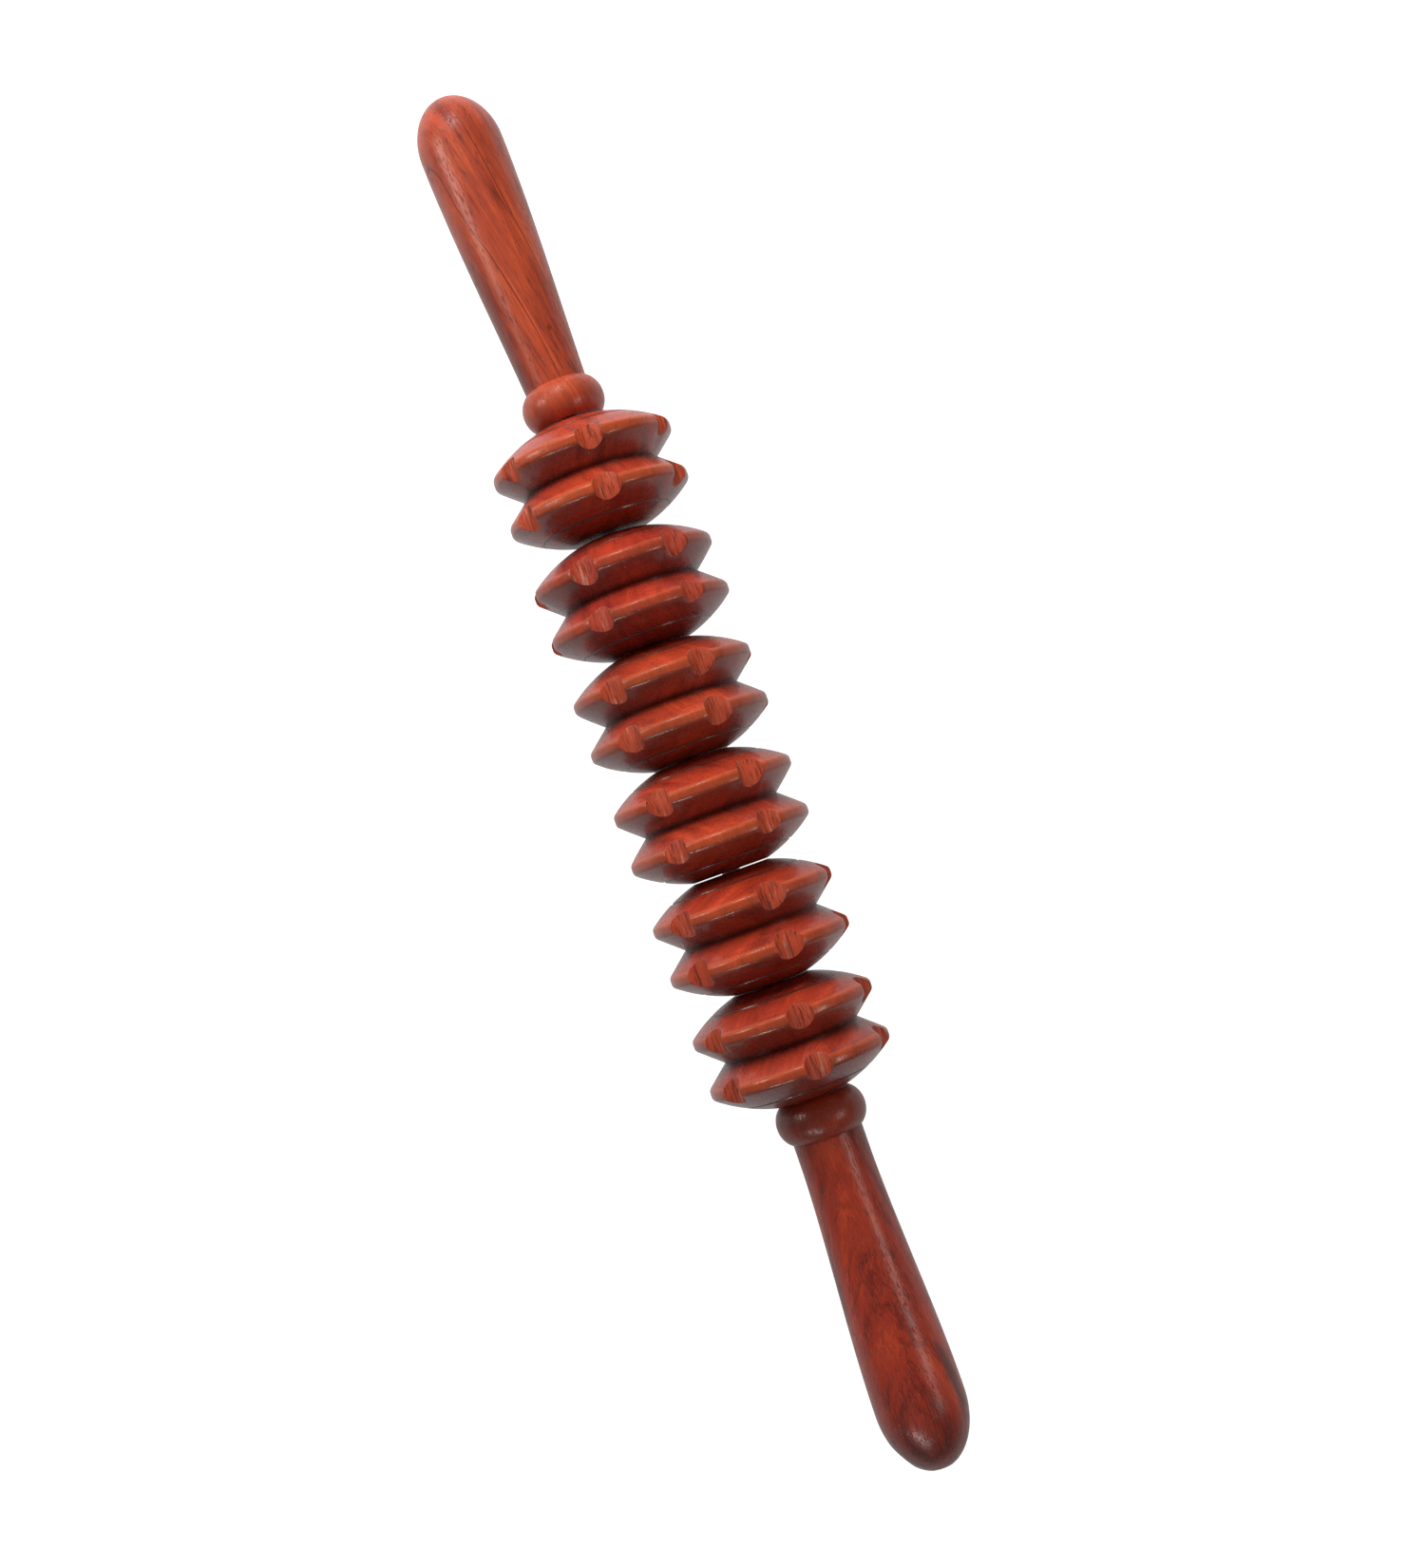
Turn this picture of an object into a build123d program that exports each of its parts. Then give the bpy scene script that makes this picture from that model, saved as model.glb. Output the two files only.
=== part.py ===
"""Two-handed wooden massage stick.

Six identical turned rollers spin one by one on a steel rod between two turned grips.
Each roller has two sharp ridges with a V groove between them, and the ridges are cut
into teeth by six round-bottomed notches that run parallel to the rod.

Frame: the rod lies along X, with +X towards the larger grip and +Z up. The origin is
the middle of the whole stick, on the rod's centre line. Millimetres throughout.
"""

import os
from math import atan2, cos, degrees, hypot, radians, sin, sqrt, tan

from build123d import *

# ---- Rod ----
rod_diameter = 5.0
rod_hold_depth = 32.0  # length of rod that sits in each grip
rod_end_chamfer = 0.6

# ---- Rollers ----
roller_count = 6
roller_length = 31.2
ridge_radius = 25.0
ridge_spacing = 13.7  # crest to crest on one roller
ridge_land = 2.5  # crest width before its edges are rounded
crest_fillet = 1.5
valley_radius = 18.5
shoulder_end_radius = 10.4  # where the domed shoulder meets the flat end face
shoulder_bulge = 0.85  # height of the shoulder's curve over a straight cone
scribe_inset = 2.9  # decorative ring on each shoulder, measured from the end face
scribe_depth = 0.4
bore_clearance = 0.08  # running clearance on the radius
bore_chamfer = 0.5

# ---- Notches ----
notch_count = 6
notch_cutter_radius = 3.9
notch_depth = 3.0
# Where each roller happens to have stopped: turn of its first notch from straight up,
# towards +Y.
notch_turns = (9.0, -22.0, -32.0, -27.0, 18.0, 11.0)

# ---- Roller stack ----
side_gap = 0.3  # working gap between neighbours
# Spare length of the stack, all of it beside the first roller.
play_before_first = 0.6
play_after_first = 1.0

# ---- Left grip: the smaller one ----
left_grip = dict(
    lean=2.0,  # degrees off the rod's line towards -Y: its hole was drilled askew
    off_centre=0.0,  # of its own axis from the rod's at the mouth, towards +Y
    grip_length=84.3,  # neck to tip
    grip_radius=11.6,
    neck_radius=8.5,
    neck_straight=0.0,
    neck_slope=0.048,
    dome_length=15.0,
    tip_flat_radius=0.0,
    bead_length=10.6,
    bead_radius=11.35,
    bead_half_width=6.2,
    bead_rise=5.35,  # height of the bead's elliptical section above its centre
    sanded_flat_depth=0.0,
)

# ---- Right grip: longer and thicker ----
right_grip = dict(
    lean=0.7,
    off_centre=0.8,
    grip_length=91.4,
    grip_radius=12.35,
    neck_radius=9.55,
    neck_straight=8.0,
    neck_slope=0.015,
    dome_length=17.2,
    tip_flat_radius=4.0,
    bead_length=10.95,
    bead_radius=12.3,
    bead_half_width=6.1,
    bead_rise=5.1,
    sanded_flat_depth=0.7,
)
sanded_flat_angle = 58.0  # its normal, from the stick's axis towards -Y

# ---- Holes in the grips ----
drill_point_angle = 118.0
drill_spare_depth = 2.0  # room for glue past the rod's end

# ---- Worked out ----
rod_radius = rod_diameter / 2
bore_radius = rod_radius + bore_clearance
all_play = play_before_first + play_after_first
stack_length = roller_count * roller_length + (roller_count + 1) * side_gap + all_play


def length_along_rod(grip):
    return (grip["grip_length"] + grip["bead_length"]) * cos(radians(grip["lean"]))


left_length = length_along_rod(left_grip)
right_length = length_along_rod(right_grip)
stick_length = left_length + stack_length + right_length
left_mouth = -stick_length / 2 + left_length
right_mouth = left_mouth + stack_length


def axle_rod():
    """Plain round rod, chamfered so that it starts into the drilled grips."""
    start = left_mouth - rod_hold_depth
    length = stack_length + 2 * rod_hold_depth
    with BuildPart() as rod:
        with BuildSketch(Plane.YZ.offset(start)):
            Circle(rod_radius)
        extrude(amount=length)
        chamfer(rod.edges().filter_by(GeomType.CIRCLE), rod_end_chamfer)
    return rod


def turned_grip(
    mouth,
    outward,
    lean,
    off_centre,
    grip_length,
    grip_radius,
    neck_radius,
    neck_straight,
    neck_slope,
    dome_length,
    tip_flat_radius,
    bead_length,
    bead_radius,
    bead_half_width,
    bead_rise,
    sanded_flat_depth,
):
    """One grip with its bead, turned from a single billet and drilled for the rod.

    The section is drawn with x running from the face beside the rollers (the mouth)
    out to the tip, and y from the axis outwards. The grip is turned about its own axis,
    which leans off the rod and may start beside it. The mouth and the hole are square
    and true to the rod.
    """
    tip = bead_length + grip_length
    # A whole elliptical dome would run on past a flat tip by this much.
    dome_reach = dome_length / sqrt(1 - (tip_flat_radius / grip_radius) ** 2)
    dome_start = tip - dome_length
    bead_centre = bead_length - bead_half_width * sqrt(
        1 - ((neck_radius - bead_radius + bead_rise) / bead_rise) ** 2
    )
    rod_mouth = Vector(mouth, 0, 0)
    out = Vector(outward, 0, 0)
    own_mouth = rod_mouth + Vector(0, off_centre, 0)
    own_axis = Vector(outward * cos(radians(lean)), -sin(radians(lean)), 0)
    section_plane = Plane(origin=own_mouth, x_dir=own_axis, z_dir=(0, 0, 1))
    with BuildPart() as grip:
        with BuildSketch(section_plane) as section:
            with BuildLine():
                neck = Line(
                    (bead_centre, neck_radius), (bead_length + neck_straight, neck_radius)
                )
                taper = Spline(
                    neck @ 1,
                    (dome_start, grip_radius),
                    tangents=[(1, neck_slope), (1, 0)],
                )
                dome = EllipticalCenterArc(
                    (dome_start, 0), dome_reach, grip_radius, start_angle=0, arc_size=90
                )
                Polyline(dome @ 0, (bead_centre, 0), neck @ 0)
            make_face()
            with Locations((bead_centre, bead_radius - bead_rise)):
                Ellipse(bead_half_width, bead_rise)
            # Keep one side of the axis, and face the tip off if it has a flat.
            with Locations((tip, 0)):
                Rectangle(
                    2 * tip,
                    2 * bead_radius + 2 * grip_radius,
                    align=(Align.MAX, Align.MIN),
                    mode=Mode.INTERSECT,
                )
        revolve(axis=Axis(own_mouth, own_axis))
        split(bisect_by=Plane(origin=rod_mouth, z_dir=out), keep=Keep.TOP)
        with BuildSketch(Plane(origin=rod_mouth, x_dir=out, z_dir=(0, 0, 1))) as drilling:
            hole_depth = rod_hold_depth + drill_spare_depth
            point_depth = rod_radius / tan(radians(drill_point_angle / 2))
            with BuildLine():
                Polyline(
                    (0, 0),
                    (0, rod_radius),
                    (hole_depth, rod_radius),
                    (hole_depth + point_depth, 0),
                    close=True,
                )
            make_face()
        revolve(axis=Axis.X, mode=Mode.SUBTRACT)
        if sanded_flat_depth:
            turn = radians(sanded_flat_angle)
            across = Vector(0, 0, -outward).cross(own_axis)
            normal = own_axis * cos(turn) + across * sin(turn)
            # Distance from the dome's centre to its tangent plane square to that normal.
            reach = hypot(dome_reach * cos(turn), grip_radius * sin(turn))
            centre = own_mouth + own_axis * dome_start
            flat = Plane(
                origin=centre + normal * (reach - sanded_flat_depth), z_dir=normal
            )
            split(bisect_by=flat, keep=Keep.BOTTOM)
    return grip


def notched_roller(middle, notch_turn):
    """One double-ridge roller, turned, then notched parallel to the rod.

    The section plane turns with the roller, so the notches follow notch_turn.
    """
    half = roller_length / 2
    crest = ridge_spacing / 2
    up = Vector(0, sin(radians(notch_turn)), cos(radians(notch_turn)))
    along = Vector(1, 0, 0)
    section_plane = Plane(origin=(middle, 0, 0), x_dir=along, z_dir=along.cross(up))
    with BuildPart() as roller:
        with BuildSketch(section_plane) as section:
            with BuildLine():
                flank = Line((0, valley_radius), (crest - ridge_land / 2, ridge_radius))
                land = Line(flank @ 1, (crest + ridge_land / 2, ridge_radius))
                shoulder = SagittaArc(
                    land @ 1, (half, shoulder_end_radius), shoulder_bulge
                )
                Polyline(
                    shoulder @ 1,
                    (half, bore_radius + bore_chamfer),
                    (half - bore_chamfer, bore_radius),
                    (0, bore_radius),
                    flank @ 0,
                )
            make_face()
            # The scribed ring is a square point pushed straight into the shoulder.
            ring_run = half - scribe_inset - shoulder.arc_center.X
            ring_rise = sqrt(shoulder.radius**2 - ring_run**2)
            with Locations(shoulder.arc_center + Vector(ring_run, ring_rise)):
                facing = degrees(atan2(ring_rise, ring_run))
                RegularPolygon(scribe_depth, 4, rotation=facing, mode=Mode.SUBTRACT)
            mirror(about=Plane.YZ)
            crest_corners = section.vertices().group_by(Axis.Y)[-1]
            fillet(crest_corners, crest_fillet)
        revolve(axis=Axis.X)
        with BuildSketch(Plane(origin=(middle - half, 0, 0), x_dir=up, z_dir=along)):
            centre_radius = ridge_radius - notch_depth + notch_cutter_radius
            with PolarLocations(centre_radius, notch_count):
                Circle(notch_cutter_radius)
        extrude(amount=roller_length, mode=Mode.SUBTRACT)
    return roller


def write(name, piece):
    piece.part.label = name
    export_step(piece.part, f"parts/{name}.step")


os.makedirs("parts", exist_ok=True)
write("axle_rod", axle_rod())
write("left_grip", turned_grip(left_mouth, -1, **left_grip))
write("right_grip", turned_grip(right_mouth, 1, **right_grip))

roller_start = left_mouth + side_gap + play_before_first
for number, notch_turn in enumerate(notch_turns, start=1):
    write(f"roller_{number}", notched_roller(roller_start + roller_length / 2, notch_turn))
    roller_start += roller_length + side_gap
    if number == 1:
        roller_start += play_after_first

print(f"stick {stick_length:.1f} long, rollers from {left_mouth:.2f} to {right_mouth:.2f}")
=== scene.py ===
# %% [markdown]
# # A wooden massage stick
# Six notched wooden rollers spin on a steel rod between two turned grips. The frame below
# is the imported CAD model: it says where every piece is and which body it turns with. This
# lesson makes the pieces again with finer shape and gives each one its finish.

import random
from math import atan2, cos, hypot, pi, radians, sin, sqrt

import bmesh
import bpy
from mathutils import Matrix, Vector


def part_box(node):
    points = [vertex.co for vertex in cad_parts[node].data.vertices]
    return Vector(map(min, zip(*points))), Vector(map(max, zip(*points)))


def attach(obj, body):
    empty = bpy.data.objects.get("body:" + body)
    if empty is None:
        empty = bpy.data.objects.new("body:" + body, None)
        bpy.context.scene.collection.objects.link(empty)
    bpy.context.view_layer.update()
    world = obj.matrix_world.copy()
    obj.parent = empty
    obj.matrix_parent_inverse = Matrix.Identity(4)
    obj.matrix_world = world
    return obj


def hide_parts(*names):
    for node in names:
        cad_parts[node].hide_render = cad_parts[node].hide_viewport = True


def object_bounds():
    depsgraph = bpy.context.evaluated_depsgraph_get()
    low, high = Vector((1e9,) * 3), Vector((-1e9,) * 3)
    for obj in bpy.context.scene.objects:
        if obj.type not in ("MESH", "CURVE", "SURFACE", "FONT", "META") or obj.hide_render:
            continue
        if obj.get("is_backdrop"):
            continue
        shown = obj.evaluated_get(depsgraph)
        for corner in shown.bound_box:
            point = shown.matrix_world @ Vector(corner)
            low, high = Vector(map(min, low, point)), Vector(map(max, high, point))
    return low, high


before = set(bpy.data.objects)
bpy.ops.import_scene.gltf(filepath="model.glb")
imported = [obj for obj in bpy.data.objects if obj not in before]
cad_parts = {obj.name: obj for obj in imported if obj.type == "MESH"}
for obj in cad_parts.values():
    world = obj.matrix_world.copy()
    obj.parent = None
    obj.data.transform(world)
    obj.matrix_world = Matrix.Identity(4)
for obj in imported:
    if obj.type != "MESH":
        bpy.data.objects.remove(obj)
cad_low, cad_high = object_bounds()
print("CAD box in mm:", [round(1000 * v, 1) for v in (*cad_low, *cad_high)])

# %% [markdown]
# ## Turning on a lathe, in mesh form
# Every wooden piece here comes off a lathe, so its shape is one outline carried round the
# axis. A Screw modifier would do it live, but the notches come afterwards and need a real
# mesh, so bmesh.ops.spin is used. It takes a few vertices joined by edges, turns them a
# full circle and, with use_merge, joins the last copy to the first.

# %% Spin an outline round the X axis
MM = 0.001
X_AXIS = Vector((1, 0, 0))
HAIR = 0.001 * MM  # closer than this, two vertices are one
NEARLY = 0.01 * MM  # as good as equal when edges are picked


def spin_outline(outline, steps, closed):
    """A bmesh turned from (x, radius) points in metres. A closed outline is a ring."""
    bm = bmesh.new()
    ring = [bm.verts.new((x, 0, radius)) for x, radius in outline]
    for first, second in zip(ring, ring[1:]):
        bm.edges.new((first, second))
    if closed:
        bm.edges.new((ring[-1], ring[0]))
    bmesh.ops.spin(
        bm, geom=bm.verts[:] + bm.edges[:], cent=(0, 0, 0), axis=X_AXIS,
        angle=2 * pi, steps=steps, use_merge=True,
    )
    bmesh.ops.remove_doubles(bm, verts=bm.verts, dist=HAIR)
    bmesh.ops.recalc_face_normals(bm, faces=bm.faces)
    return bm


def arc_between(start, end, height, steps):
    """Points on the round arc that bows out to the left of start-to-end by height."""
    start, end = Vector(start), Vector(end)
    half_chord = (end - start).length / 2
    radius = (half_chord**2 + height**2) / (2 * height)
    outwards = Vector((start.y - end.y, end.x - start.x)).normalized()
    centre = (start + end) / 2 - outwards * (radius - height)
    begin = atan2(start.y - centre.y, start.x - centre.x)
    finish = atan2(end.y - centre.y, end.x - centre.x)
    turns = [begin + (finish - begin) * k / steps for k in range(steps + 1)]
    return [(centre.x + radius * cos(t), centre.y + radius * sin(t)) for t in turns]


trial = spin_outline([(0, 1), (1, 1), (1, 2)], 8, closed=True)
print("three points spun in 8 steps make", len(trial.faces), "faces")
trial.free()


# %% Put a finished mesh in the scene
def place_in_scene(bm, name, materials, sharp_angle=35.0):
    """Turns a finished bmesh into an object that sits at the origin."""
    mesh = bpy.data.meshes.new(name)
    bm.to_mesh(mesh)
    bm.free()
    for material in materials:
        mesh.materials.append(material)
    mesh.shade_smooth()
    mesh.set_sharp_from_angle(angle=radians(sharp_angle))
    piece = bpy.data.objects.new(name, mesh)
    bpy.context.scene.collection.objects.link(piece)
    print(f"{name}: {len(mesh.polygons)} faces")
    return piece


# %% [markdown]
# ## The wood
# The stick is a dense red hardwood with a red stain under satin varnish. Up close that is
# growth layers that run out of the surface at a slant, fine fibres, a few dark veins,
# short open pores, and soft blotches where the stain took unevenly. A flat sheet of
# grain could be wrapped round each piece, but a turned piece cuts through the layers, so
# the grain is made in space instead: every noise reads Object coordinates and turns with
# the piece. Squeezing the coordinates more in one direction than another turns round
# noise into layers, and squeezing two directions turns it into fibres.

# %% A small kit for writing node trees
def new_material(name):
    material = bpy.data.materials.new(name)
    material.use_nodes = True
    return material, material.node_tree


def report(material):
    print(f"{material.name}: {len(material.node_tree.nodes)} nodes")


def node(tree, kind, settings=None, **inputs):
    """Adds a node. Inputs are values or other nodes' sockets, named or numbered as i0, i1."""
    made = tree.nodes.new(kind)
    for key, value in (settings or {}).items():
        setattr(made, key, value)
    for key, value in inputs.items():
        numbered = key[0] == "i" and key[1:].isdigit()
        socket = made.inputs[int(key[1:])] if numbered else made.inputs[key]
        if isinstance(value, bpy.types.NodeSocket):
            tree.links.new(value, socket)
        else:
            socket.default_value = value
    return made


def ramp(tree, factor, stops, interpolation="EASE"):
    """A colour ramp from (position, colour or grey) pairs."""
    made = tree.nodes.new("ShaderNodeValToRGB")
    made.color_ramp.interpolation = interpolation
    elements = made.color_ramp.elements
    while len(elements) < len(stops):
        elements.new(0.5)
    for element, (position, colour) in zip(elements, stops):
        rgb = colour if hasattr(colour, "__len__") else (colour,) * 3
        element.position = position
        element.color = (*rgb, 1)
    tree.links.new(factor, made.inputs["Fac"])
    return made.outputs["Color"]


def calc(tree, operation, first, second=0.0, third=0.0):
    settings = {"operation": operation}
    return node(tree, "ShaderNodeMath", settings, i0=first, i1=second, i2=third).outputs[0]


def weighted(tree, *parts):
    """Adds up (socket, weight) pairs."""
    total = 0.0
    for socket, weight in parts:
        total = calc(tree, "MULTIPLY_ADD", socket, weight, total)
    return total


def faded(tree, value, start, stop, begin, end):
    """Goes smoothly from begin to end while value goes from start to stop."""
    settings = {"interpolation_type": "SMOOTHSTEP"}
    made = node(
        tree, "ShaderNodeMapRange", settings, Value=value, i1=start, i2=stop, i3=begin, i4=end
    )
    return made.outputs["Result"]


# %% Colours over colours
def mix(tree, factor, first, second):
    """The first colour where factor is 0, the second where it is 1."""
    made = tree.nodes.new("ShaderNodeMix")
    made.data_type = "RGBA"
    for place, value in (("Factor_Float", factor), ("A_Color", first), ("B_Color", second)):
        socket = next(s for s in made.inputs if s.identifier == place)
        if isinstance(value, bpy.types.NodeSocket):
            tree.links.new(value, socket)
        else:
            socket.default_value = (*value, 1) if hasattr(value, "__len__") else value
    return next(s for s in made.outputs if s.identifier == "Result_Color")


def painted(tree, under, paint, mask, strength):
    """Lays paint over a colour where the mask is 1, at the given strength."""
    return mix(tree, calc(tree, "MULTIPLY", mask, strength), under, paint)


def shade(colour, share):
    """The same colour, share times as bright."""
    return tuple(share * c for c in colour)


print("a red stain at half strength:", shade((0.4, 0.04, 0.02), 0.5))


# %% Coordinates that follow the grain
def object_place(tree):
    return node(tree, "ShaderNodeTexCoord").outputs["Object"]


def leaning_grain(tree, roll, slant, seed):
    """Object coordinates turned so that x runs along the fibres and y through the layers.

    roll turns the layers about the stick, slant leans the fibres off its axis, and seed
    moves the piece to another place in the tree, so that no two pieces match.
    """
    elsewhere = (0.13 * seed, 0.37 * seed, 0.61 * seed)
    turned = node(
        tree, "ShaderNodeMapping", Vector=object_place(tree),
        Rotation=(roll, 0, slant), Location=elsewhere,
    )
    return turned.outputs["Vector"]


def noise(tree, where, scale, detail=4.0, roughness=0.55, distortion=0.0):
    """Noise with scale = (along, through, across) cells per metre."""
    stretched = node(tree, "ShaderNodeMapping", Vector=where, Scale=scale).outputs["Vector"]
    made = node(
        tree, "ShaderNodeTexNoise", Vector=stretched, Scale=1.0, Detail=detail,
        Roughness=roughness, Distortion=distortion,
    )
    return made.outputs["Fac"]


def thin_line(tree, value, middle, half_width):
    """1 where value is at middle, falling to 0 half_width away."""
    distance = calc(tree, "ABSOLUTE", calc(tree, "SUBTRACT", value, middle))
    return faded(tree, distance, 0.0, half_width, 1.0, 0.0)


def from_rod(tree):
    """The distance from the rod's axis, and the place along it."""
    place = node(tree, "ShaderNodeSeparateXYZ", Vector=object_place(tree)).outputs
    up_squared = calc(tree, "MULTIPLY", place["Z"], place["Z"])
    squares = calc(tree, "MULTIPLY_ADD", place["Y"], place["Y"], up_squared)
    return calc(tree, "SQRT", squares), place["X"]


# %% [markdown]
# ## Varnish over the wood
# The tone of the wood is one grey number, made by adding layers, fibres and blotches, and
# a colour ramp gives it three stains from dark to bright. Streaks, veins and pores are
# painted on top, because they are a different material in the real wood: resin and open
# vessels. The varnish is the shader's coat. Its roughness, weight and IOR are the same all
# over, so they are numbers on the shader's own sockets, and only the roughness of the wood
# under it comes from nodes.

# %% Growth layers, streaks and veins
RING_GAP = 11 * MM  # between the dark lines that some growth layers end in


def stained_figure(tree, grain, fibres, tones, veins, streaks, rings_dark):
    """The figure of the wood in three stains, before its pores."""
    bright, middle, dark = tones
    layers = noise(tree, grain, (9, 330, 60), 4, 0.55, 0.5)
    blotches = noise(tree, grain, (28, 75, 75), 3, 0.55, 0.4)
    tone = weighted(tree, (layers, 0.40), (fibres, 0.28), (blotches, 0.32))
    colour = ramp(tree, tone, [(0.38, dark), (0.5, middle), (0.62, bright)])

    # Broad dark streaks, soft edged, where a resin-rich layer comes to the surface.
    resin = ramp(tree, noise(tree, grain, (14, 120, 45), 3, 0.6, 0.8), [(0.50, 0.0), (0.66, 1.0)])
    colour = painted(tree, colour, shade(dark, 0.45), resin, streaks)

    # A vein is where a slow noise crosses its middle value: a thin wandering dark line.
    line = thin_line(tree, noise(tree, grain, (11, 105, 40), 4, 0.5, 0.6), 0.5, 0.012)
    shown = ramp(tree, noise(tree, grain, (40, 60, 60), 2, 0.5), [(0.45, 0.0), (0.6, 1.0)])
    vein = calc(tree, "MULTIPLY", line, shown)
    colour = painted(tree, colour, shade(dark, 0.3), vein, veins)

    # Some growth layers end in a dark line that runs the length of the piece.
    through = node(tree, "ShaderNodeSeparateXYZ", Vector=grain).outputs["Y"]
    wander = noise(tree, grain, (12, 30, 30), 2, 0.5)
    layer = calc(tree, "FRACT", weighted(tree, (through, 1 / RING_GAP), (wander, 1.1)))
    return painted(tree, colour, shade(dark, 0.5), thin_line(tree, layer, 0.5, 0.022), rings_dark)


# %% Turned and varnished wood
FIBRES = (70, 2100, 2100)  # cells per metre along, through and across the grain
print(f"a fibre is about {1000 / FIBRES[1]:.1f} mm thick and {1000 / FIBRES[0]:.0f} mm long")


def varnished_wood(
    name, tones, roll, slant, seed, veins, streaks,
    rings_dark=0.2, pore_depth=0.5, satin=(0.26, 0.38), coat=0.5, coat_blur=0.13,
):
    """Returns the material and the colour and height so far, for a piece to add to.

    tones are bright, middle and dark. satin is the roughness on the smooth patches and in
    the pores, coat is the weight of the top varnish and coat_blur is its roughness.
    """
    material, tree = new_material(name)
    grain = leaning_grain(tree, roll, slant, seed)
    fibres = noise(tree, grain, FIBRES, 3, 0.6, 0.2)
    colour = stained_figure(tree, grain, fibres, tones, veins, streaks, rings_dark)

    # Pores are short dashes along the fibres.
    pores = ramp(tree, noise(tree, grain, (240, 2200, 2200), 3, 0.6), [(0.56, 0.0), (0.70, 1.0)])
    colour = painted(tree, colour, shade(tones[2], 0.35), pores, pore_depth)

    # Lathe lines are faint rings, so their noise changes only along the axis.
    rings = noise(tree, object_place(tree), (2400, 5, 5), 3, 0.6)
    ripple = noise(tree, grain, (110, 520, 520), 4, 0.6)
    height = weighted(tree, (rings, 0.35), (ripple, 0.7), (pores, -0.7), (fibres, 0.5))

    gloss = weighted(tree, (ripple, 0.6), (pores, 0.4))
    roughness = ramp(tree, gloss, [(0.2, satin[0]), (0.7, satin[1])], "LINEAR")
    shader = tree.nodes["Principled BSDF"]
    tree.links.new(roughness, shader.inputs["Roughness"])
    shader.inputs["IOR"].default_value = 1.46
    shader.inputs["Coat Weight"].default_value = coat
    shader.inputs["Coat Roughness"].default_value = coat_blur
    return material, colour, height


def finish_wood(material, colour, height, relief):
    """Wires the finished colour and height into the shader. relief is in metres."""
    tree = material.node_tree
    shader = tree.nodes["Principled BSDF"]
    tree.links.new(colour, shader.inputs["Base Color"])
    bump = node(tree, "ShaderNodeBump", Strength=0.6, Distance=relief, Height=height)
    # The varnish follows the wood's relief, so its own reflection breaks up too.
    tree.links.new(bump.outputs["Normal"], shader.inputs["Normal"])
    tree.links.new(bump.outputs["Normal"], shader.inputs["Coat Normal"])
    report(material)


# %% [markdown]
# ## Cut wood and rubbed rims
# The notches were cut after turning and before staining. Torn fibres drink more stain and
# hold less varnish, so a notch is redder and duller than the turned wood, with pale
# strokes along the stick where bare wood shows. Its rims are where hands and skin rub
# first. They could be found with a curvature or ambient occlusion node, but those don't
# survive an export, so the rim gets its own material on the faces that soften it.

# %% Freshly cut wood inside the notches
BARE_WOOD = (0.42, 0.2625, 0.1925)  # what the strokes add to the stain


def cut_wood(name, stain, dark, seed):
    """Strokes run along the stick, with bare wood on their tops and splits between them."""
    material, tree = new_material(name)
    grain = leaning_grain(tree, 0, 0, seed)
    strokes = noise(tree, grain, (80, 1300, 1300), 4, 0.7, 0.4)
    splits = ramp(tree, noise(tree, grain, (140, 2300, 2300), 2, 0.5), [(0.58, 0.0), (0.66, 1.0)])
    patches = noise(tree, grain, (150, 260, 260), 2, 0.5)
    pale = tuple(0.35 * c + bare for c, bare in zip(stain, BARE_WOOD))
    tone = weighted(tree, (strokes, 0.75), (patches, 0.25))
    colour = ramp(tree, tone, [(0.36, dark), (0.50, stain), (0.56, stain), (0.68, pale)])
    colour = painted(tree, colour, shade(dark, 0.4), splits, 0.6)

    height = weighted(tree, (strokes, 1.0), (splits, -0.6))
    bump = node(tree, "ShaderNodeBump", Strength=1.0, Distance=0.2 * MM, Height=height)
    shader = tree.nodes["Principled BSDF"]
    tree.links.new(colour, shader.inputs["Base Color"])
    tree.links.new(bump.outputs["Normal"], shader.inputs["Normal"])
    tree.links.new(ramp(tree, patches, [(0.3, 0.38), (0.7, 0.6)]), shader.inputs["Roughness"])
    shader.inputs["Coat Weight"].default_value = 0.08
    shader.inputs["Coat Roughness"].default_value = 0.3
    report(material)
    return material


# %% Worn varnish on the notch rims
def worn_rim(name, wood, worn):
    """Handling rubs the sharp rims first, so the wood shows pale there, in patches."""
    material, tree = new_material(name)
    patches = noise(tree, object_place(tree), (420, 420, 420), 3, 0.6)
    rubbed = ramp(tree, patches, [(0.42, 0.0), (0.60, 1.0)])
    shader = tree.nodes["Principled BSDF"]
    tree.links.new(mix(tree, rubbed, wood, worn), shader.inputs["Base Color"])
    shader.inputs["Roughness"].default_value = 0.3
    shader.inputs["Coat Weight"].default_value = 0.2
    shader.inputs["Coat Roughness"].default_value = 0.15
    report(material)
    return material


# %% [markdown]
# ## The rollers
# Each roller is turned as two ridges with a V groove between them and a domed shoulder on
# each side, then six round-bottomed notches are cut across both ridges. The outline is
# drawn with sharp crests and the crests are rounded afterwards with a bevel, as sandpaper
# does it. The notches are cut with cylinders by a Boolean, because that leaves the same
# curved rims as a real cutter, and the rims then get their own small bevel, where varnish
# catches the light.

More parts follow.
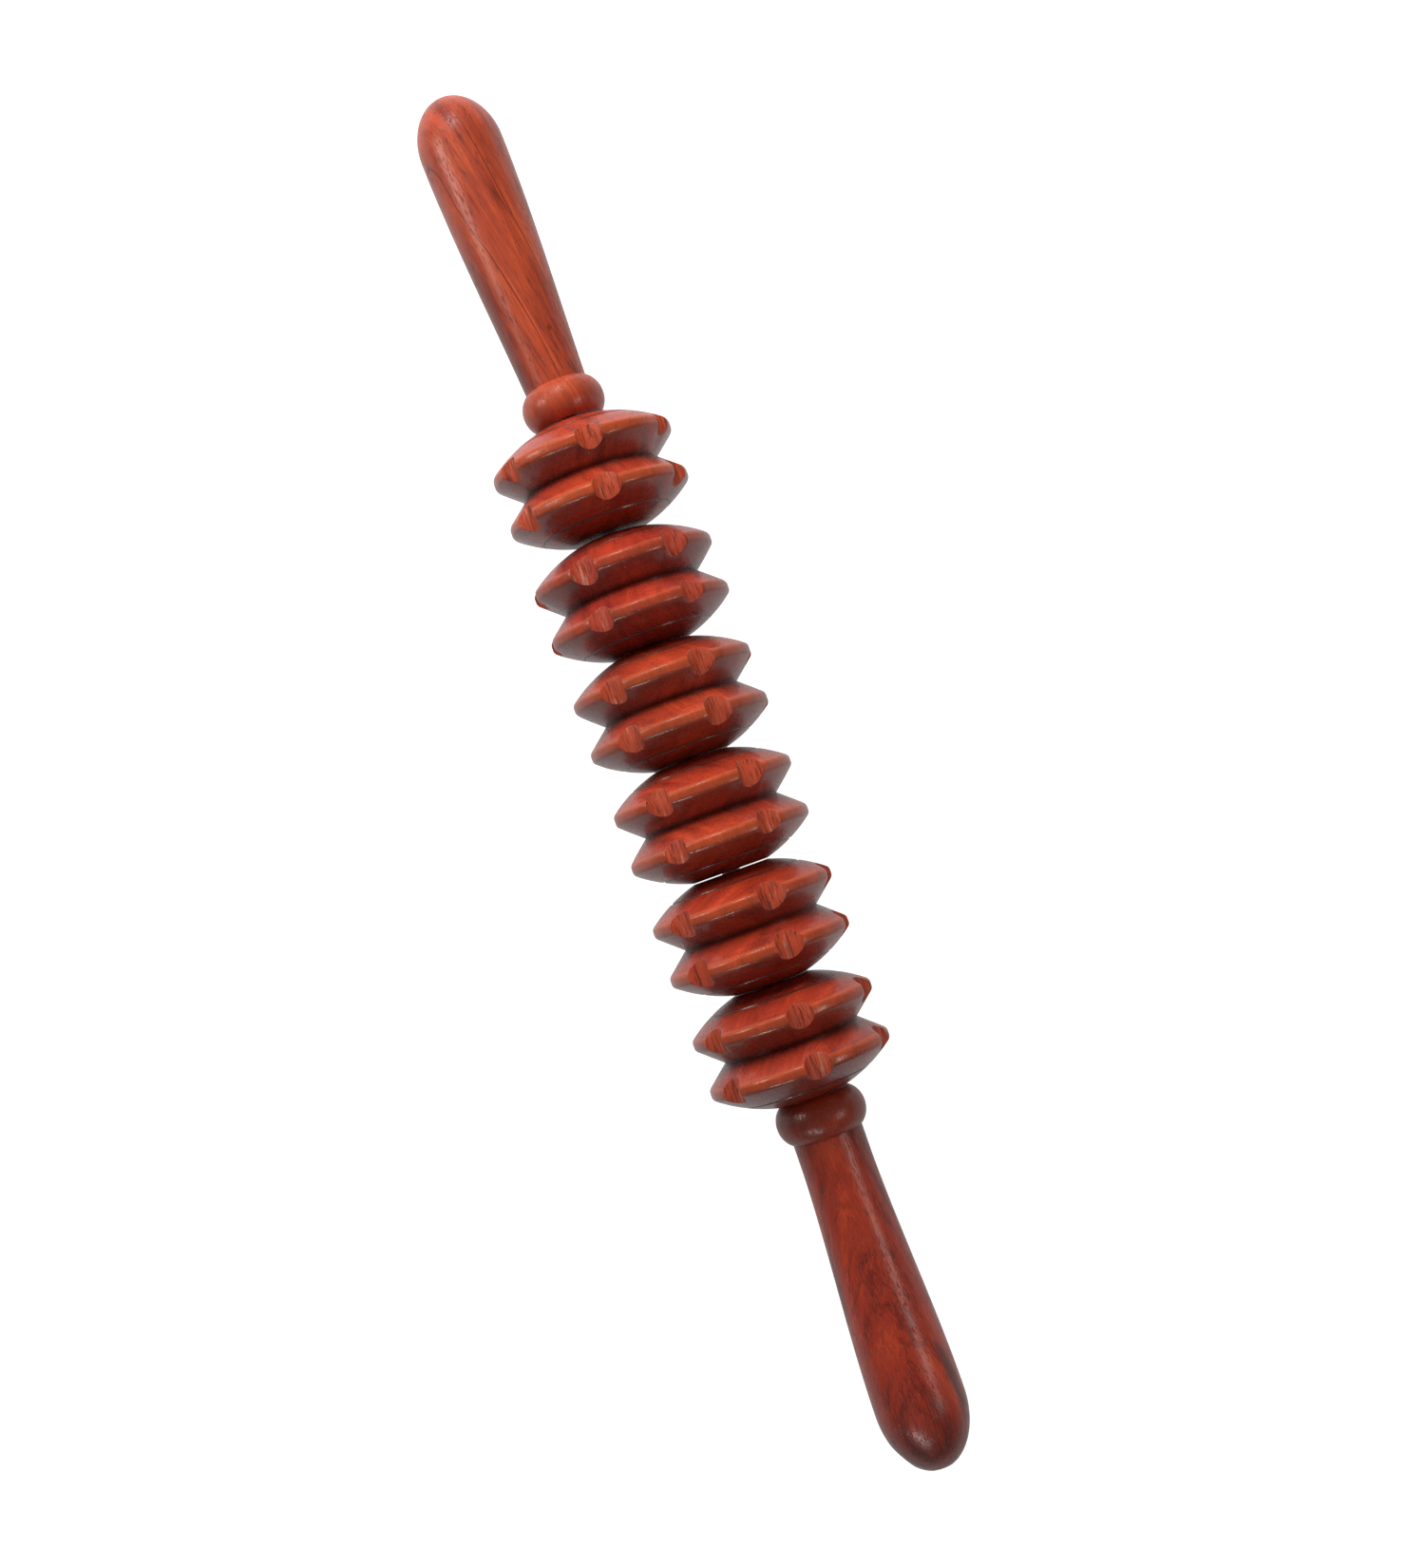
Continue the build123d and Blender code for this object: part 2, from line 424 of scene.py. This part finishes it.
# %% Roller sizes
ROLLER_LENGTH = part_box("roller_1")[1].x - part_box("roller_1")[0].x
RIDGE_RADIUS = cad_high.z
RIDGE_SPACING = 13.7 * MM
RIDGE_LAND = 2.5 * MM
CREST_ROUNDING = 0.72 * MM
VALLEY_RADIUS = 18.5 * MM
SHOULDER_END_RADIUS = 10.4 * MM
SHOULDER_BULGE = 0.85 * MM
SCRIBE_INSET = 2.9 * MM
SCRIBE_DEPTH = 0.4 * MM
BORE_RADIUS = 2.58 * MM
BORE_CHAMFER = 0.5 * MM
NOTCH_COUNT = 6
NOTCH_CUTTER_RADIUS = 3.9 * MM
NOTCH_DEPTH = 3.0 * MM
RIM_ROUNDING = 0.25 * MM
TURN_STEPS = 96
SHOULDER_STEPS = 20
print(f"a roller is {ROLLER_LENGTH / MM:.1f} mm long and {2 * RIDGE_RADIUS / MM:.1f} mm across")


# %% The outline of half a roller, mirrored
def scribed(shoulder, ring_x):
    """Replaces the shoulder's points near ring_x with the lips and foot of a small V."""
    before = [p for p in shoulder if p[0] < ring_x - SCRIBE_DEPTH]
    after = [p for p in shoulder if p[0] > ring_x + SCRIBE_DEPTH]
    step_x, step_r = after[0][0] - before[-1][0], after[0][1] - before[-1][1]
    share = (ring_x - before[-1][0]) / step_x
    middle = Vector((ring_x, before[-1][1] + share * step_r))
    along = Vector((step_x, step_r)).normalized()
    inwards = Vector((along.y, -along.x))
    ring = [middle - along * SCRIBE_DEPTH, middle + inwards * SCRIBE_DEPTH]
    ring.append(middle + along * SCRIBE_DEPTH)
    return before + [tuple(point) for point in ring] + after


def roller_outline():
    half = ROLLER_LENGTH / 2
    crest = RIDGE_SPACING / 2
    land_end = (crest + RIDGE_LAND / 2, RIDGE_RADIUS)
    shoulder = arc_between(land_end, (half, SHOULDER_END_RADIUS), SHOULDER_BULGE, SHOULDER_STEPS)
    right = [(crest - RIDGE_LAND / 2, RIDGE_RADIUS), *scribed(shoulder, half - SCRIBE_INSET)]
    right += [(half, BORE_RADIUS + BORE_CHAMFER), (half - BORE_CHAMFER, BORE_RADIUS)]
    left = [(-x, radius) for x, radius in reversed(right)]
    return left + [(0, VALLEY_RADIUS)] + right


print("outline points:", len(roller_outline()))


# %% Turn one roller blank and round its crests
def is_crest(edge):
    """True for the four rings of edges where a land meets a slope."""
    first, second = edge.verts
    on_top = all(hypot(v.co.y, v.co.z) > RIDGE_RADIUS - NEARLY for v in edge.verts)
    return on_top and abs(first.co.x - second.co.x) < NEARLY


def roller_blank():
    bm = spin_outline(roller_outline(), TURN_STEPS, closed=True)
    bmesh.ops.bevel(
        bm, geom=[e for e in bm.edges if is_crest(e)], offset=CREST_ROUNDING,
        offset_type="OFFSET", affect="EDGES", segments=4, profile=0.5, material=-1,
        clamp_overlap=True,
    )
    return bm


# %% [markdown]
# The notches were cut by hand, so no two are quite alike: each cutter is turned, sunk and
# tilted a little differently, always from the same seed.

# %% The cutters for one roller
CUTTER_WIDTHS = (0.95, 1.04)  # of the cutter's own radius
TURN_SLIP = 1.2  # degrees, either way
SINK_SLIP = 0.2  # millimetres, either way


def notch_cutters(turn, left_sink, right_sink, dice):
    """Six cylinders along the roller. A sink deepens (+) or eases (-) the cut at one ridge."""
    bm = bmesh.new()
    lay_along_x = Matrix.Rotation(pi / 2, 4, "Y")
    for k in range(NOTCH_COUNT):
        radius = NOTCH_CUTTER_RADIUS * dice.uniform(*CUTTER_WIDTHS)
        angle = turn + k * 2 * pi / NOTCH_COUNT + radians(dice.uniform(-TURN_SLIP, TURN_SLIP))
        height = RIDGE_RADIUS - NOTCH_DEPTH + radius
        left = height - left_sink - dice.uniform(-SINK_SLIP, SINK_SLIP) * MM
        right = height - right_sink - dice.uniform(-SINK_SLIP, SINK_SLIP) * MM
        tilt = Matrix.Rotation(atan2(right - left, RIDGE_SPACING), 4, "Y").inverted()
        lift = Matrix.Translation((0, 0, (left + right) / 2))
        swing = Matrix.Rotation(-angle, 4, X_AXIS)
        facets = Matrix.Rotation(dice.uniform(0, pi), 4, "Z")
        bmesh.ops.create_cone(
            bm, cap_ends=True, segments=20, radius1=radius, radius2=radius,
            depth=1.2 * ROLLER_LENGTH, matrix=swing @ lift @ tilt @ lay_along_x @ facets,
        )
    bmesh.ops.recalc_face_normals(bm, faces=bm.faces)
    return bm


# %% Cut the notches
def carve(blank, cutters, name, materials):
    """Subtracts the cutters from the blank. Cut faces take the cutters' material."""
    roller = place_in_scene(blank, name + "_blank", materials)
    tool = place_in_scene(cutters, name + "_cutters", [materials[1]])
    cutting = roller.modifiers.new("notches", "BOOLEAN")
    cutting.operation = "DIFFERENCE"
    cutting.solver = "EXACT"
    cutting.object = tool
    cutting.material_mode = "TRANSFER"
    bpy.context.view_layer.update()
    graph = bpy.context.evaluated_depsgraph_get()
    carved = bpy.data.meshes.new_from_object(roller.evaluated_get(graph))
    for thing in (roller, tool):
        bpy.data.objects.remove(thing)
    return carved


# %% Soften the notch rims
SLIVER = 0.02 * MM  # a Boolean leaves edges shorter than this, and they are welded


def soften_rims(carved, cut, rim):
    """Bevels the edges between turned and cut wood and gives the bevel the rim's material."""
    order = list(carved.materials)
    cut_index, rim_index = order.index(cut), order.index(rim)
    bm = bmesh.new()
    bm.from_mesh(carved)
    bmesh.ops.remove_doubles(bm, verts=bm.verts, dist=SLIVER)
    rims = [
        edge for edge in bm.edges
        if len({face.material_index == cut_index for face in edge.link_faces}) == 2
    ]
    softened = bmesh.ops.bevel(
        bm, geom=rims, offset=RIM_ROUNDING, offset_type="OFFSET", affect="EDGES",
        segments=2, profile=0.5, material=-1, clamp_overlap=True,
    )
    for face in softened["faces"]:
        face.material_index = rim_index
    print(len(rims), "rim edges softened")
    return bm, order


# %% [markdown]
# ## Six rollers, six pieces of wood
# All six share one shape, but each was cut from its own piece of wood and took the stain
# its own way. tone scales the red, green and blue of every stain on that roller. The
# sinks follow how deep each ridge of that roller was cut.

# %% How each roller differs
# turn is where the first notch stands, in degrees from straight up towards +Y. Sinks are
# in millimetres.
ROLLERS = {
    "roller_1": dict(turn=9, left_sink=-0.5, right_sink=0.0, tone=(1.14, 1.08, 1.0)),
    "roller_2": dict(turn=-22, left_sink=0.1, right_sink=-0.7, tone=(0.95, 0.78, 0.92)),
    "roller_3": dict(turn=-32, left_sink=0.0, right_sink=0.1, tone=(1.03, 1.0, 0.95)),
    "roller_4": dict(turn=-27, left_sink=0.3, right_sink=-0.7, tone=(1.08, 1.0, 0.92)),
    "roller_5": dict(turn=18, left_sink=0.0, right_sink=0.0, tone=(1.1, 0.96, 0.88)),
    "roller_6": dict(turn=11, left_sink=-0.2, right_sink=-0.3, tone=(1.0, 0.93, 0.93)),
}
BRIGHT = (0.55, 0.066, 0.024)
MIDDLE = (0.38, 0.041, 0.018)
DARK = (0.20, 0.022, 0.013)
CUT_STAIN = (0.50, 0.070, 0.024)
WORN_CREST = (0.50, 0.10, 0.020)
WORN_RIM = (0.66, 0.27, 0.17)
ROLLER_RELIEF = 0.08 * MM


def toned(colour, tone):
    return tuple(c * t for c, t in zip(colour, tone))


# %% The rollers' finish
def roller_wood(name, tone, middle, dice, seed):
    """Worn lighter on the crests, with painted shade darkening the valley and the scribed rings."""
    tones = [toned(stain, tone) for stain in (BRIGHT, MIDDLE, DARK)]
    material, colour, height = varnished_wood(
        name, tones, roll=dice.uniform(0, pi), slant=dice.uniform(-0.08, 0.08), seed=seed,
        veins=0.35, streaks=0.18, pore_depth=0.3,
    )
    tree = material.node_tree
    everywhere = object_place(tree)
    # The gouge leaves fine rings on the slopes, and the stain sits darker in some of them.
    rings = ramp(tree, noise(tree, everywhere, (1500, 8, 8), 3, 0.6), [(0.48, 0.0), (0.66, 1.0)])
    colour = painted(tree, colour, tones[2], rings, 0.3)

    radius, along = from_rod(tree)
    patchy = noise(tree, everywhere, (160, 160, 160), 3, 0.6)
    wear = weighted(tree, (radius, 1 / RIDGE_RADIUS), (patchy, 0.04))
    crest = ramp(tree, wear, [(0.975, 0.0), (1.012, 1.0)])
    colour = painted(tree, colour, toned(WORN_CREST, tone), crest, 0.4)

    # Painted shade: the V valley and the scribed rings are darkened towards a deep brown, standing in
    # for the shade that falls into these creases.
    from_middle = calc(tree, "ABSOLUTE", calc(tree, "SUBTRACT", along, middle))
    valley_shade = faded(tree, from_middle, 0.2 * MM, 1.6 * MM, 0.6, 0.0)
    ring_shade = thin_line(tree, from_middle, ROLLER_LENGTH / 2 - SCRIBE_INSET, 0.42 * MM)
    painted_crease_shade = calc(tree, "MAXIMUM", valley_shade, calc(tree, "MULTIPLY", ring_shade, 0.85))
    colour = mix(tree, painted_crease_shade, colour, shade(tones[2], 0.25))
    finish_wood(material, colour, height, ROLLER_RELIEF)
    return material


# %% Make the six rollers
for number, (name, way) in enumerate(ROLLERS.items(), start=1):
    dice = random.Random(number)
    low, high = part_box(name)
    middle = (low.x + high.x) / 2
    tone = way["tone"]
    wood = roller_wood(name + "_wood", tone, middle, dice, number)
    cut = cut_wood(name + "_cut", toned(CUT_STAIN, tone), toned(DARK, tone), number)
    rim = worn_rim(name + "_rim", toned(MIDDLE, tone), WORN_RIM)
    cutters = notch_cutters(
        radians(way["turn"]), way["left_sink"] * MM, way["right_sink"] * MM, dice
    )
    carved = carve(roller_blank(), cutters, name, [wood, cut, rim])
    bm, order = soften_rims(carved, cut, rim)
    bmesh.ops.translate(bm, verts=bm.verts, vec=X_AXIS * middle)
    roller = place_in_scene(bm, name + "_turned", order)
    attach(roller, name)
    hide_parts(name)

# %% [markdown]
# ## The grips
# A grip is turned with a bead at the roller end, a thin neck, a slow swell and a domed
# tip. The bead's section is an ellipse that sinks into the neck, which leaves the crisp
# line where the two meet. The swell is a cubic curve with a chosen slope at each end.

# %% The outline of a grip
ROD_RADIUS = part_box("axle_rod")[1].z
HOLE_DEPTH = 34.0 * MM
DRILL_POINT = 0.6 * ROD_RADIUS
BEAD_STEPS = 24
SWELL_STEPS = 32
DOME_STEPS = 24


def bead_points(bead_length, bead_radius, half_width, rise, neck_radius):
    """The bead from the mouth over its top to where it sinks into the neck."""
    core = bead_radius - rise
    neck_height = (neck_radius - core) / rise
    centre = bead_length - half_width * sqrt(1 - neck_height**2)
    begin = -centre / half_width
    mouth_angle = pi - atan2(sqrt(1 - begin**2), -begin)
    neck_angle = atan2(neck_height, (bead_length - centre) / half_width)
    turns = [mouth_angle + (neck_angle - mouth_angle) * k / BEAD_STEPS for k in range(BEAD_STEPS + 1)]
    return [(centre + half_width * cos(t), core + rise * sin(t)) for t in turns]


def swell_points(start, end, neck_radius, neck_slope, radius):
    """A cubic from the neck to the grip's full radius, which it meets level."""
    points = []
    run = end - start
    for k in range(SWELL_STEPS + 1):
        s = k / SWELL_STEPS
        rise = (3 * s * s - 2 * s**3) * (radius - neck_radius)
        rise += (s - 2 * s * s + s**3) * neck_slope * run
        points.append((start + s * run, neck_radius + rise))
    return points


def grip_outline(length, radius, neck_radius, neck_straight, neck_slope, dome_length,
                 tip_flat_radius, bead_length, bead_radius, bead_half_width, bead_rise):
    """(x, radius) from the hole's foot, out of the mouth, over the bead to the tip."""
    points = [(HOLE_DEPTH + DRILL_POINT, 0), (HOLE_DEPTH, ROD_RADIUS), (0, ROD_RADIUS)]
    points += bead_points(bead_length, bead_radius, bead_half_width, bead_rise, neck_radius)
    dome_start = length - dome_length
    swell = swell_points(bead_length + neck_straight, dome_start, neck_radius, neck_slope, radius)
    if neck_straight:
        points.append((bead_length + neck_straight / 2, neck_radius))
        points += swell
    else:
        points += swell[1:]  # the bead's last point is already there
    reach = dome_length / sqrt(1 - (tip_flat_radius / radius) ** 2)
    last = atan2(tip_flat_radius / radius, dome_length / reach)
    for k in range(1, DOME_STEPS + 1):
        t = pi / 2 + (last - pi / 2) * k / DOME_STEPS
        points.append((dome_start + reach * cos(t), radius * sin(t)))
    if tip_flat_radius:
        points.append((length, 0))
    return points


# %% [markdown]
# The two grips are a hand-made pair and not alike. Both were drilled a little askew, so
# they lean off the rod, and the right one's hole is beside its own centre. The right one
# is longer and thicker, took a darker stain over wilder figure, and was touched on a
# sander at its tip.

# %% How the two grips differ
GRIPS = {
    "left_grip": dict(
        outward=-1,  # which way its tip points along X
        lean=2.0,  # degrees off the rod, towards -Y
        off_centre=0.0,  # mm from the rod to its own axis, towards +Y
        sanded=False,
        neck_slope=0.048,
        outline=dict(
            radius=11.6, neck_radius=8.5, neck_straight=0.0, dome_length=15.0,
            tip_flat_radius=0.0, bead_length=10.6, bead_radius=11.35, bead_half_width=6.2,
            bead_rise=5.35,
        ),
        tones=((0.65, 0.100, 0.030), (0.46, 0.061, 0.022), (0.21, 0.027, 0.014)),
        figure=dict(
            roll=0.4, slant=-0.2, seed=11.3, veins=0.6, streaks=0.45, rings_dark=0.75,
            pore_depth=0.55, satin=(0.28, 0.44), coat=0.4, coat_blur=0.2,
        ),
    ),
    "right_grip": dict(
        outward=1,
        lean=0.7,
        off_centre=0.8,
        sanded=True,
        neck_slope=0.015,
        outline=dict(
            radius=12.35, neck_radius=9.55, neck_straight=8.0, dome_length=17.2,
            tip_flat_radius=4.0, bead_length=10.95, bead_radius=12.3, bead_half_width=6.1,
            bead_rise=5.1,
        ),
        tones=((0.62, 0.070, 0.021), (0.42, 0.038, 0.014), (0.18, 0.017, 0.009)),
        figure=dict(
            roll=1.5, slant=-0.17, seed=17.9, veins=0.4, streaks=0.8, rings_dark=0.2,
            pore_depth=0.5, satin=(0.28, 0.44), coat=0.35, coat_blur=0.2,
        ),
    ),
}
GRIP_RELIEF = 0.14 * MM
print("grips:", ", ".join(f"{name} leans {way['lean']} degrees" for name, way in GRIPS.items()))

# %% [markdown]
# ## Two things a lathe doesn't do
# The sanded flat is a plane cut: bmesh.ops.bisect_plane throws away what lies beyond the
# plane, and the open edge is closed with one face. A Boolean with a box would do it too,
# at the price of a second object. The lean turns everything but the drilled hole, because
# the hole has to stay true to the rod.

# %% The sanded flat
SANDED_ANGLE = radians(58)  # the flat's normal, from the grip's axis towards -Y
SANDED_DEPTH = 0.7 * MM


def sand_dome(bm, length, sizes):
    """Slices a little off one side of the dome and closes the cut."""
    flat_share = sizes["tip_flat_radius"] / sizes["radius"]
    dome_reach = sizes["dome_length"] / sqrt(1 - flat_share**2)
    reach = hypot(dome_reach * cos(SANDED_ANGLE), sizes["radius"] * sin(SANDED_ANGLE))
    normal = Vector((cos(SANDED_ANGLE), -sin(SANDED_ANGLE), 0))
    centre = Vector((length - sizes["dome_length"], 0, 0))
    sliced = bmesh.ops.bisect_plane(
        bm, geom=bm.verts[:] + bm.edges[:] + bm.faces[:],
        plane_co=centre + normal * (reach - SANDED_DEPTH), plane_no=normal, clear_outer=True,
    )
    rim = [e for e in sliced["geom_cut"] if isinstance(e, bmesh.types.BMEdge)]
    bmesh.ops.contextual_create(bm, geom=rim)
    print(f"sanded flat: one face with {len(rim)} sides")


# %% The lean
def lean_off_rod(bm, outward, lean, off_centre):
    """The hole stays true to the rod and the rest leans off it, towards -Y."""
    outside = [
        v for v in bm.verts
        if hypot(v.co.y, v.co.z) > 1.01 * ROD_RADIUS or abs(v.co.x) > 1.1 * HOLE_DEPTH
    ]
    turn = Matrix.Rotation(-outward * lean, 3, "Z")
    bmesh.ops.rotate(bm, verts=outside, cent=(0, 0, 0), matrix=turn)
    bmesh.ops.translate(bm, verts=outside, vec=(0, off_centre, 0))
    print(f"{len(outside)} of {len(bm.verts)} vertices lean off the rod")


# %% [markdown]
# ## What hands and time did to the grips
# Thumbs have rubbed the beads a little paler, and the end grain of the right grip has
# opened in a short drying crack. Both could be painted on an unwrapped mesh. Here the
# shader measures how far it is from the mouth or the tip and fades the colour over that
# distance, so they stay where they belong however the mesh changes.

# %% The rubbed bead and the drying crack
CRACK_COLOUR = (0.02, 0.006, 0.004)
CRACK_HEIGHT = 7.6 * MM  # above the rod, before it wanders


def rubbed_bead(tree, colour, bright, mouth, bead_length):
    """Thumbs rest on the bead, so its stain is a little paler."""
    along = from_rod(tree)[1]
    from_mouth = calc(tree, "ABSOLUTE", calc(tree, "SUBTRACT", along, mouth))
    on_bead = faded(tree, from_mouth, 0.85 * bead_length, 1.1 * bead_length, 0.4, 0.0)
    return mix(tree, on_bead, colour, shade(bright, 0.85))


def end_crack(tree, colour, tip):
    """A short dark crack in the end grain, on the sanded side of the tip."""
    place = node(tree, "ShaderNodeSeparateXYZ", Vector=object_place(tree)).outputs
    wander = noise(tree, object_place(tree), (120, 120, 120), 3, 0.6)
    height = weighted(tree, (place["Z"], 1.0), (wander, 3 * MM))
    crack = thin_line(tree, height, CRACK_HEIGHT, 0.5 * MM)
    near_tip = faded(tree, place["X"], tip - 15 * MM, tip - 11 * MM, 0.0, 0.9)
    own_side = faded(tree, place["Y"], -5 * MM, -3 * MM, 1.0, 0.0)
    shown = calc(tree, "MULTIPLY", crack, calc(tree, "MULTIPLY", near_tip, own_side))
    return mix(tree, shown, colour, CRACK_COLOUR)


# %% Turn the grips
for name, way in GRIPS.items():
    low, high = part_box(name)
    sizes = {key: value * MM for key, value in way["outline"].items()}
    lean = radians(way["lean"])
    # The lean lifts one corner of a flat tip a little beyond the tip's middle.
    length = (high.x - low.x - sizes["tip_flat_radius"] * sin(lean)) / cos(lean)
    outline = grip_outline(length, neck_slope=way["neck_slope"], **sizes)
    bm = spin_outline(outline, TURN_STEPS, closed=False)
    if way["sanded"]:
        sand_dome(bm, length, sizes)
    bmesh.ops.scale(bm, verts=bm.verts, vec=(way["outward"], 1, 1))
    lean_off_rod(bm, way["outward"], lean, way["off_centre"] * MM)
    mouth = high.x if way["outward"] < 0 else low.x
    bmesh.ops.translate(bm, verts=bm.verts, vec=X_AXIS * mouth)
    bmesh.ops.recalc_face_normals(bm, faces=bm.faces)

    wood, colour, height = varnished_wood(name + "_wood", way["tones"], **way["figure"])
    tree = wood.node_tree
    colour = rubbed_bead(tree, colour, way["tones"][0], mouth, sizes["bead_length"])
    if way["sanded"]:
        colour = end_crack(tree, colour, high.x)
    finish_wood(wood, colour, height, GRIP_RELIEF)
    grip = place_in_scene(bm, name + "_turned", [wood], sharp_angle=28)
    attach(grip, "stick")
    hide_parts(name)

# %% [markdown]
# ## The rod
# Bright drawn steel rod, 5 mm across. It shows only in the gap beside the first roller, so
# it is one cylinder with its ends chamfered. Drawing steel through a die leaves fine marks
# along it, so the noise is squeezed hard across the rod and left long along it.

# %% Drawn steel
def drawn_steel(name):
    material, tree = new_material(name)
    marks = noise(tree, object_place(tree), (20, 4000, 4000), 3, 0.6)
    grey = ramp(tree, marks, [(0.3, (0.42, 0.42, 0.43)), (0.7, (0.62, 0.62, 0.64))])
    bump = node(tree, "ShaderNodeBump", Strength=0.3, Distance=0.02 * MM, Height=marks)
    shader = tree.nodes["Principled BSDF"]
    shader.inputs["Metallic"].default_value = 1.0
    tree.links.new(grey, shader.inputs["Base Color"])
    tree.links.new(ramp(tree, marks, [(0.3, 0.24), (0.7, 0.38)]), shader.inputs["Roughness"])
    tree.links.new(bump.outputs["Normal"], shader.inputs["Normal"])
    report(material)
    return material


# %% Make the rod
ROD_CHAMFER = 0.6 * MM

rod_low, rod_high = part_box("axle_rod")
bm = bmesh.new()
bmesh.ops.create_cone(
    bm, cap_ends=True, segments=64, radius1=ROD_RADIUS, radius2=ROD_RADIUS,
    depth=rod_high.x - rod_low.x, matrix=Matrix.Rotation(pi / 2, 4, "Y"),
)
ends = [e for e in bm.edges if abs(e.verts[0].co.x - e.verts[1].co.x) < NEARLY]
bmesh.ops.bevel(
    bm, geom=ends, offset=ROD_CHAMFER, affect="EDGES", segments=1, profile=0.5, material=-1
)
bmesh.ops.translate(bm, verts=bm.verts, vec=((rod_low.x + rod_high.x) / 2, 0, 0))
bmesh.ops.recalc_face_normals(bm, faces=bm.faces)
rod = place_in_scene(bm, "axle_rod_drawn", [drawn_steel("drawn_steel")])
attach(rod, "stick")
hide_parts("axle_rod")

# %% [markdown]
# ## Table, light and camera
# The stick lies on a plain white table in a bright studio. A white table has to look
# white without throwing much light back up at the wood, so it glows for the camera, glows
# weakly in the varnish, and hardly at all otherwise. The Light Path node tells these
# apart, and it is used only on the table and the studio walls.

# %% The table
TABLE_SIZE = 6.0
TABLE_PAINT = (0.32, 0.32, 0.32, 1)
GLOW_SEEN, GLOW_REFLECTED, GLOW_ALWAYS = 0.94, 0.27, 0.06

table_bm = bmesh.new()
bmesh.ops.create_grid(table_bm, x_segments=1, y_segments=1, size=TABLE_SIZE / 2)
bmesh.ops.translate(table_bm, verts=table_bm.verts, vec=(0, 0, cad_low.z))
paint, table_tree = new_material("white_table")
shader = table_tree.nodes["Principled BSDF"]
shader.inputs["Base Color"].default_value = TABLE_PAINT
shader.inputs["Roughness"].default_value = 0.8
shader.inputs["Emission Color"].default_value = (1, 1, 1, 1)
ray = table_tree.nodes.new("ShaderNodeLightPath").outputs
glow = weighted(
    table_tree, (ray["Is Camera Ray"], GLOW_SEEN), (ray["Is Glossy Ray"], GLOW_REFLECTED)
)
strength = calc(table_tree, "ADD", glow, GLOW_ALWAYS)
table_tree.links.new(strength, shader.inputs["Emission Strength"])
place_in_scene(table_bm, "white_table", [paint])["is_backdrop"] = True

# %% [markdown]
# Each lamp has one job. The big key box beyond the left tip lights every slope that faces
# it and leaves the others dark, which is what makes the ridges stand out. It would also
# put a grey sheen on the varnish, so its reflection is switched off, as a polarising
# filter does. The small boxes draw the highlights instead: one on the left tip, one along
# each grip, and a thin strip that draws a line along the edges of the lands. The box for
# the left grip and the strip add no light of their own, only their reflections.

# %% Soft boxes
WARM = (1.0, 0.90, 0.82)


def soft_box(name, place, size, power, colour=(1, 1, 1)):
    """A rectangular lamp aimed at the middle of the stick. Metres and watts."""
    light = bpy.data.lights.new(name, "AREA")
    light.color = colour
    light.shape = "RECTANGLE"
    light.size, light.size_y = size
    light.energy = power
    lamp = bpy.data.objects.new(name, light)
    lamp.location = place
    lamp.rotation_mode = "QUATERNION"
    lamp.rotation_quaternion = Vector(place).to_track_quat("Z", "Y")
    bpy.context.scene.collection.objects.link(lamp)
    print(f"{name}: {power} W from {place}")
    return lamp


key_box = soft_box("key_box", (-0.82, -0.10, 0.46), (0.8, 0.7), 12.2)
key_box.visible_glossy = False
soft_box("tip_box", (-0.80, 0.0, 0.56), (0.22, 0.22), 0.9)
left_box = soft_box("left_box", (-0.44, -0.72, 0.48), (0.30, 0.34), 1.7, WARM)
left_box.visible_diffuse = False
soft_box("right_box", (0.26, 0.60, 0.56), (0.34, 0.17), 0.75, WARM)
edge_strip = soft_box("edge_strip", (0.95, -0.50, 0.72), (0.6, 0.03), 2.4)
edge_strip.visible_diffuse = False

# %% The studio walls
WALLS_LIGHT, WALLS_REFLECTED, WALLS_SEEN = (0.11,) * 3, (0.16,) * 3, (1.0,) * 3

studio = bpy.data.worlds.new("studio")
bpy.context.scene.world = studio
studio.use_nodes = True
studio_tree = studio.node_tree
ray = studio_tree.nodes.new("ShaderNodeLightPath").outputs
walls = mix(studio_tree, ray["Is Glossy Ray"], WALLS_LIGHT, WALLS_REFLECTED)
walls = mix(studio_tree, ray["Is Camera Ray"], walls, WALLS_SEEN)
studio_tree.links.new(walls, studio_tree.nodes["Background"].inputs["Color"])
print("walls light the wood with", WALLS_LIGHT[0], "and reflect in it with", WALLS_REFLECTED[0])
bpy.context.scene.view_settings.view_transform = "Standard"

# %% The camera looks almost straight down, with the stick leaning across the frame
STICK_TURN = radians(70.3)  # from the frame's right edge round to the stick's +X end
CAMERA_LEAN = radians(2.3)  # the camera stands a little towards the +X end
CAMERA_DISTANCE = 0.5703
AIM_OFF_MIDDLE = (5.0 * MM, 3.2 * MM)

camera_data = bpy.data.cameras.new("camera")
camera_data.sensor_width = 36.0
camera_data.lens = 49.1
camera = bpy.data.objects.new("camera", camera_data)
bpy.context.scene.collection.objects.link(camera)
middle = (cad_low.x + cad_high.x) / 2
aim = Matrix.Translation((middle + AIM_OFF_MIDDLE[0], AIM_OFF_MIDDLE[1], 0))
turn = Matrix.Rotation(CAMERA_LEAN, 4, "Y") @ Matrix.Rotation(STICK_TURN, 4, "Z")
camera.matrix_world = aim @ turn @ Matrix.Translation((0, 0, CAMERA_DISTANCE))
bpy.context.scene.camera = camera
print("camera at", [round(v, 4) for v in camera.matrix_world.translation])

# %% [markdown]
# ## Last checks
# The finer pieces should stay in the CAD box, so the last cell prints how far they reach beyond it on
# each side.

# %% Compare the boxes
low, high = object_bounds()
print("grown by, in mm:", [round(1000 * v, 3) for v in (*(cad_low - low), *(high - cad_high))])
